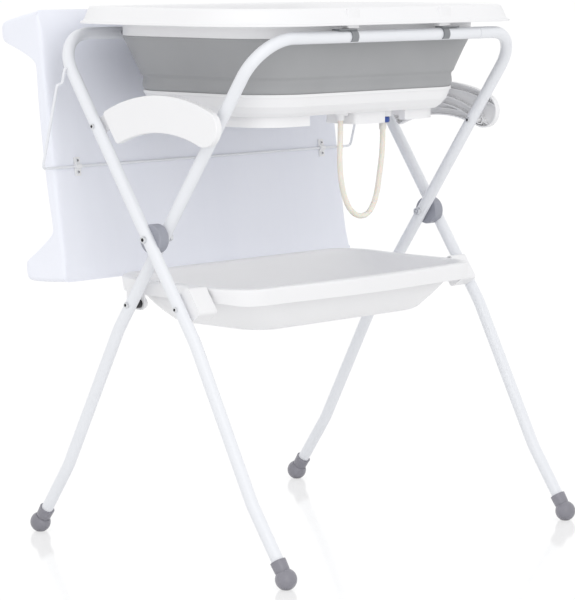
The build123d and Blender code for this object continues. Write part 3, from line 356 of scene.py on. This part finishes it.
# Tubes of the frame and the wire bail: bent steel under a white powder coat, whose fine
# orange peel catches the light. The coat is a little scuffed low on the legs.
powder = Finish("white_powder_coat", (0.84, 0.86, 0.90), 0.3, Coat_Roughness=0.2)
scuffed = powder.noise(35.0, 6.0) * (powder.axis("Z") < 0.12)
tint = 0.2 * powder.noise(9.0) + 0.1 * scuffed
powder.feed("Base Color", powder.blend(tint, (0.82, 0.835, 0.87), (0.74, 0.76, 0.80)))
powder.feed("Roughness", 0.28 + 0.06 * powder.noise(60.0, 3.0))
powder.feed("Coat Weight", 0.25 + 0.1 * powder.noise(8.0))
powder.relief(powder.noise(1100.0, 2.0), 0.00001)
powder.paint("outer_tube_left", "outer_tube_right", "inner_tube_left", "inner_tube_right", "bail_wire")

# Grey mouldings: ball feet and pivot discs of hard glossy plastic, and the paler clips on the front bar.
grey_plastic = Finish("grey_moulding", (0.27, 0.265, 0.30), 0.28)
grey_plastic.vary(25.0, (0.29, 0.285, 0.325), (0.21, 0.207, 0.235), 0.16, 0.16, 70.0)
grey_plastic.relief(grey_plastic.noise(1100.0, 2.0), 0.00004)
grey_plastic.paint("foot_front_left", "foot_front_right", "foot_rear_left", "foot_rear_right")
disc_plastic = Finish("grey_disc", (0.33, 0.34, 0.39), 0.4)
disc_plastic.vary(30.0, (0.36, 0.37, 0.425), (0.29, 0.30, 0.345), 0.32, 0.16, 70.0)
disc_plastic.paint("pivot_disc_left", "pivot_disc_right")
clip_plastic = Finish("grey_clip", (0.24, 0.25, 0.265), 0.3)
clip_plastic.vary(40.0, (0.26, 0.27, 0.285), (0.2, 0.21, 0.225), 0.24, 0.16, 90.0)
clip_plastic.paint("bar_clip_left", "bar_clip_right")

# Changing board: a stiff panel with a foam wedge along each long edge, under pale blue vinyl that is
# welded at the ends. Its face lies flat against the bail's wire and the pad behind is crowned.
board_foot = (0.1996, 0.487)
board_lean = math.radians(8.0)
board_half = 0.386
board_height = 0.480
end_round, end_press = 0.010, 0.006
vinyl = Finish("pale_blue_vinyl", (0.80, 0.83, 0.91), 0.45)
ripples_and_painted_shade = vinyl.noise(9.0, 4.0, 0.55, (1.0, 0.35, 0.12))
# Faint vertical bands of lighter and darker blue follow the ripple noise. They are painted shade of the ripples, and
# the same noise also raises the ripples as relief.
vinyl.feed("Base Color", vinyl.blend(ripples_and_painted_shade, (0.91, 0.925, 0.985), (0.84, 0.86, 0.94)))
vinyl.feed("Roughness", 0.36 + 0.2 * vinyl.noise(25.0, 4.0))
vinyl.relief(0.7 * ripples_and_painted_shade + 0.05 * vinyl.noise(700.0, 3.0), 0.0035)
wedge = [(0, 1), (1, 6), (2.5, 30), (6, 70), (10, 95), (16, 101), (38, 101.5), (45, 95), (60, 68), (78, 38), (90, 24),
         (104, 22.5), (150, 26), (200, 27.6)]
upper_half = [(1000 * board_height - s, n) for s, n in reversed(wedge)]
up, thick = soften(wedge + upper_half, 2, loop=False).T * 0.001
to_end = np.concatenate((np.linspace(0, end_round, 7), np.linspace(2 * end_round, board_half, 22)))
stations = np.concatenate((to_end - board_half, (board_half - to_end)[::-1][1:]))
from_end = np.clip((board_half - np.abs(stations)) / end_round, 0, 1)[:, None]
end_in = end_press * (1 - np.sqrt(1 - (1 - from_end) ** 2))
centre = 0.5 * board_height
up = centre + (up - centre) * (1 - end_in / centre)
pressed = end_in * np.minimum(1, thick / (4 * end_press))
section = np.stack((np.hstack((up, up[:, ::-1])), np.hstack((thick - pressed, pressed[:, ::-1]))), axis=2)
middle = 0.5 * (section[:1] + section[:1, ::-1])
end_rows = [middle + share * (section[:1] - middle) for share in (0.0, 0.25, 0.5, 0.75)]
section = np.vstack(end_rows + [section] + end_rows[::-1])
stations = np.pad(stations, len(end_rows), mode="edge")


def on_board(x, s, n):
    """Place of a point s up the board and n behind its face, which leans by a: y = foot + s sin a + n cos a
    and z = foot + s cos a - n sin a."""
    y = board_foot[0] + s * math.sin(board_lean) + n * math.cos(board_lean)
    return np.stack((x + 0 * s, y, board_foot[1] + s * math.cos(board_lean) - n * math.sin(board_lean)), axis=-1)


upright = np.stack(np.broadcast_arrays(stations[:, None], section[..., 1], section[..., 0]), axis=-1)
points, patches, finish = skin(upright, loop=False)
board = piece("padded_board", [(points, patches[:-2], finish[:-2])], [vinyl], "board",
              ["changing_board"], 60.0)
outwards_facing(board.data, weld=0.00002)


def coordinates(mesh):
    """All the points of a mesh as one array."""
    flat = np.empty(3 * len(mesh.vertices))
    mesh.vertices.foreach_get("co", flat)
    return flat.reshape(-1, 3)


def puff(pad, reach, frames=20):
    """Fills a pad with air: blows its form up as cloth, with no point moved by more than reach."""
    before = coordinates(pad.data)
    cloth = pad.modifiers.new("air", "CLOTH")
    cloth.settings.use_pressure = True
    cloth.settings.uniform_pressure_force = 4.0
    cloth.settings.quality = 4
    cloth.settings.effector_weights.gravity = 0.0
    for number in range(1, frames + 1):
        bpy.context.scene.frame_set(number)
    depsgraph = bpy.context.evaluated_depsgraph_get()
    blown = bpy.data.meshes.new_from_object(pad.evaluated_get(depsgraph))
    moved = coordinates(blown) - before
    length = np.linalg.norm(moved, axis=1)[:, None]
    pad.modifiers.clear()
    bpy.context.scene.frame_set(1)
    return before + moved * np.minimum(1.0, reach / np.maximum(length, 1e-9))


padded_half, padded_foot, padded_top, padded_tip = 0.3905, -0.011, 0.481, 0.110
weld_x, weld_depth = 0.340, 0.0022
x, n, s = puff(board, 0.005).T
n = np.maximum(0.0, n)
weld = weld_depth * np.exp(-(((np.abs(x) - weld_x) / 0.005) ** 2))
n += weld * np.cos(math.pi * np.clip(n / 0.022, 0, 1))
n *= padded_tip / n.max()
s = padded_foot + (padded_top - padded_foot) * (s - s.min()) / np.ptp(s)
x = x * padded_half / np.abs(x).max()
finer = board.modifiers.new("finer", "SUBSURF")
finer.levels = finer.render_levels = 1
board.data.vertices.foreach_set("co", on_board(x, s, n).ravel())

# Screws, bolts and nuts: zinc plated steel. Every pan or dome head has a socket painted near-black, as painted shade
# in its recess.
zinc = Finish("zinc_plate", (0.55, 0.56, 0.58), 0.35, Metallic=1.0)
zinc.vary(300.0, (0.78, 0.79, 0.81), (0.62, 0.63, 0.65), 0.24, 0.2, 500.0)
socket_painted_shade = Finish("socket_shadow", (0.02, 0.02, 0.022), 0.6)
socket_painted_shade.vary(400.0, (0.03, 0.03, 0.033), (0.012, 0.012, 0.014), 0.5, 0.2, 300.0, detail=3.0)
zinc.paint("pivot_nuts", "tray_hinge_nuts", "outer_seam_screw", "inner_seam_screw")


def screw(seat, way, head_r, head_h, shank_r, shank_l, around=24):
    """A screw turned about its axis: a point of its outline with radius r and height h stands at
    seat + h way + r (cos t u + sin t v), and the socket's radius swells and shrinks six times round."""
    outline = np.array([
        (0.3 * shank_r, -shank_l), (0.8 * shank_r, -shank_l), (shank_r, -0.93 * shank_l), (shank_r, 0), (head_r, 0),
        (head_r, 0.35 * head_h), (0.93 * head_r, 0.7 * head_h), (0.75 * head_r, 0.93 * head_h),
        (0.55 * head_r, head_h), (0.5 * head_r, 0.97 * head_h), (0.46 * head_r, 0.25 * head_h),
    ])
    lobes = np.zeros(len(outline))
    lobes[-2:] = 0.1
    t = np.linspace(0, 2 * math.pi, around, endpoint=False)
    way = np.asarray(way, float) / np.linalg.norm(way)
    u = np.cross(way, (0.3, 0.9, 0.4))
    u /= np.linalg.norm(u)
    v = np.cross(way, u)
    r = outline[:, :1] * (1 + lobes[:, None] * np.cos(6 * t))
    spokes = np.cos(t)[:, None] * u + np.sin(t)[:, None] * v
    grid = np.asarray(seat) + outline[:, 1, None, None] * way + r[..., None] * spokes
    # The socket's wall and floor take the second finish, the painted shade.
    return skin(grid, loop=False, dark_from=len(outline) - 2)


lean = math.atan2(0.233, 0.351)
pivot_z = 0.570


def on_leg(distance):
    """Y and Z of a place on an outer upper leg, so far above the pivot."""
    return bath_y + distance * math.sin(lean), pivot_z + distance * math.cos(lean)


def pair(name, body, seat_x, place, outwards, *sizes):
    """A screw and its twin on the other side, both pointing along X."""
    skins = [screw((hand * seat_x, *place), (hand * outwards, 0, 0), *sizes) for hand in (-1, 1)]
    piece(name, skins, [zinc, socket_painted_shade], body, [name.replace("_shown", "")], 30.0)


arch_y, arch_z = on_leg(0.230)
roller_y, roller_z = on_leg(0.218)
stub_y, stub_z = on_leg(-0.139)
leg_y, leg_z = on_leg(-0.150)
small = (0.005, 0.0026, 0.002)
pair("pivot_bolts_shown", "outer_frame", 0.402, (bath_y, pivot_z), 1, 0.0065, 0.0036, 0.004, 0.0665)
pair("arch_screws_shown", "outer_frame", 0.402, (arch_y, arch_z), 1, *small, 0.0267)
pair("bracket_screws_shown", "outer_frame", 0.402, (stub_y, stub_z), 1, *small, 0.060)
pair("roller_screws_shown", "inner_frame", 0.342, (2 * bath_y - roller_y, roller_z), -1, *small, 0.0371)
pair("tray_hinge_bolts_shown", "inner_frame", 0.364, (2 * bath_y - leg_y, leg_z), 1, 0.0055, 0.0036, 0.003, 0.0453)
off_board = (0, -math.cos(board_lean), math.sin(board_lean))
clip_heads = [screw(on_board(x, s, -0.0025), off_board, 0.0033, 0.002, 0.0016, 0.0087, 18)
              for x in (-0.331, 0.331) for s in (0.1855, 0.2065)]
piece("board_clip_screws_shown", clip_heads, [zinc, socket_painted_shade], "board", ["board_clip_screws"], 30.0)

# Washers of the tray's hinge: black plastic.
black = Finish("black_washer", (0.02, 0.02, 0.022), 0.5)
black.vary(250.0, (0.03, 0.03, 0.033), (0.012, 0.012, 0.014), 0.45, 0.2, 200.0, detail=3.0)
black.paint("tray_hinge_washers")

# Floor: white and a little glossy, so that the feet show faintly in it and it keeps their shadow.
# It is wide enough for its edge to lie in the far distance.
wide = 150
ground = bpy.data.meshes.new("floor")
ground.from_pydata([(-wide, -wide, 0), (wide, -wide, 0), (wide, wide, 0), (-wide, wide, 0)], [], [(0, 1, 2, 3)])
floor = bpy.data.objects.new("floor", ground)
bpy.context.scene.collection.objects.link(floor)
white_floor = Finish("white_floor")
seen = white_floor.node("ShaderNodeLightPath", out="Is Camera Ray")
mirrored = white_floor.node("ShaderNodeLightPath", out="Is Glossy Ray")
shade = white_floor.node("ShaderNodeBsdfDiffuse", {}, {"Color": (0.26, 0.26, 0.26, 1.0)})
glow = white_floor.node("ShaderNodeEmission", {}, {"Strength": 0.88})
gloss = white_floor.node("ShaderNodeBsdfGlossy", {}, {"Roughness": 0.10})
lit = white_floor.node("ShaderNodeAddShader", {}, {0: shade, 1: glow})
wet = white_floor.node("ShaderNodeMixShader", {}, {0: 0.30, 1: lit, 2: gloss})
matt = white_floor.node("ShaderNodeBsdfDiffuse", {}, {"Color": (0.85, 0.85, 0.85, 1.0)})
white_floor.show("ShaderNodeOutputMaterial", seen.math("MAXIMUM", seen, mirrored), matt, wet)
ground.materials.append(white_floor.owner)

# Studio: a white room all round, and two large soft lamps in front on the left, one high and one low.
bpy.context.scene.world = bpy.data.worlds.new("room")
room = Finish(bpy.context.scene.world)
white_room = room.node("ShaderNodeBackground", {}, {"Color": (1.0, 1.0, 1.0, 1.0), "Strength": 1.0})
room.node("ShaderNodeOutputWorld", {}, {"Surface": white_room})


def lamp(name, at, size, watts):
    """A square lamp that points at the middle of the table."""
    light = bpy.data.lights.new(name, "AREA")
    light.size = size
    light.energy = watts
    made = bpy.data.objects.new(name, light)
    bpy.context.scene.collection.objects.link(made)
    away = Vector(at) - Vector((0.0, 0.0, 0.6))
    made.matrix_world = Matrix.Translation(at) @ away.to_track_quat("Z", "Y").to_matrix().to_4x4()


lamp("key", (-2.2, -2.6, 2.8), 2.0, 12.0)
lamp("fill", (-2.2, -2.9, 0.7), 2.0, 11.0)
